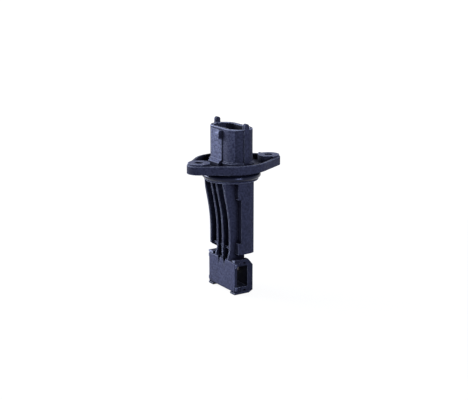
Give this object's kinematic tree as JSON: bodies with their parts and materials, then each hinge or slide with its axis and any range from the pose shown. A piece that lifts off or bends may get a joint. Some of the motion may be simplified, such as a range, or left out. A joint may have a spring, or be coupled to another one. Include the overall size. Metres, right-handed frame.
{
  "type": "mass airflow sensor",
  "caption": "Plug-in mass airflow sensor with a keyed plug shell, a screwed flange, a sealed collar, a ribbed stem and a small duct for the sensing films.",
  "frame": {"origin": "on the collar's axis, at the underside of the flange plate", "axes": "+Z along the collar's axis towards the plug, X along the airflow through the measuring box, +Y along the flange from the ribbed side of the stem to its lid side"},
  "size_m": [0.039, 0.0548, 0.09],
  "materials": {
    "housing_plastic": "moulded black with a fine grain",
    "lid_plastic": "moulded black with a fine grain",
    "duct_plastic": "moulded black with a fine grain",
    "seal_rubber": "smooth and lightly oiled",
    "terminal_metal": "tin plated",
    "board_ceramic": "sintered white",
    "chip_plastic": "moulded black",
    "capacitor_ceramic": "fired tan",
    "ribbon_aluminium": "bright",
    "silicone_gel": "milky and soft",
    "lead_steel": "stamped nickel steel",
    "film_ceramic": "thin plate with a printed film",
    "bead_glaze": "dipped and glazed"
  },
  "bodies": {
    "root": {"air_temperature_bead": "bead_glaze", "bond_ribbon_1": "ribbon_aluminium", "bond_ribbon_2": "ribbon_aluminium", "bond_ribbon_3": "ribbon_aluminium", "bond_ribbon_4": "ribbon_aluminium", "bond_ribbon_5": "ribbon_aluminium", "capacitor_1": "capacitor_ceramic", "capacitor_2": "capacitor_ceramic", "capacitor_3": "capacitor_ceramic", "circuit_board": "board_ceramic", "driver_chip": "chip_plastic", "duct_body": "duct_plastic", "duct_cover": "duct_plastic", "electronics_lid": "lid_plastic", "element_lead_1": "lead_steel", "element_lead_2": "lead_steel", "element_lead_3": "lead_steel", "element_lead_4": "lead_steel", "element_lead_5": "lead_steel", "element_lead_6": "lead_steel", "heated_film": "film_ceramic", "housing": "housing_plastic", "o_ring": "seal_rubber", "potting_gel": "silicone_gel", "reference_film": "film_ceramic", "signal_chip": "chip_plastic", "terminal_pin_1": "terminal_metal", "terminal_pin_2": "terminal_metal", "terminal_pin_3": "terminal_metal", "terminal_pin_4": "terminal_metal", "terminal_pin_5": "terminal_metal"}
  },
  "joints": []
}
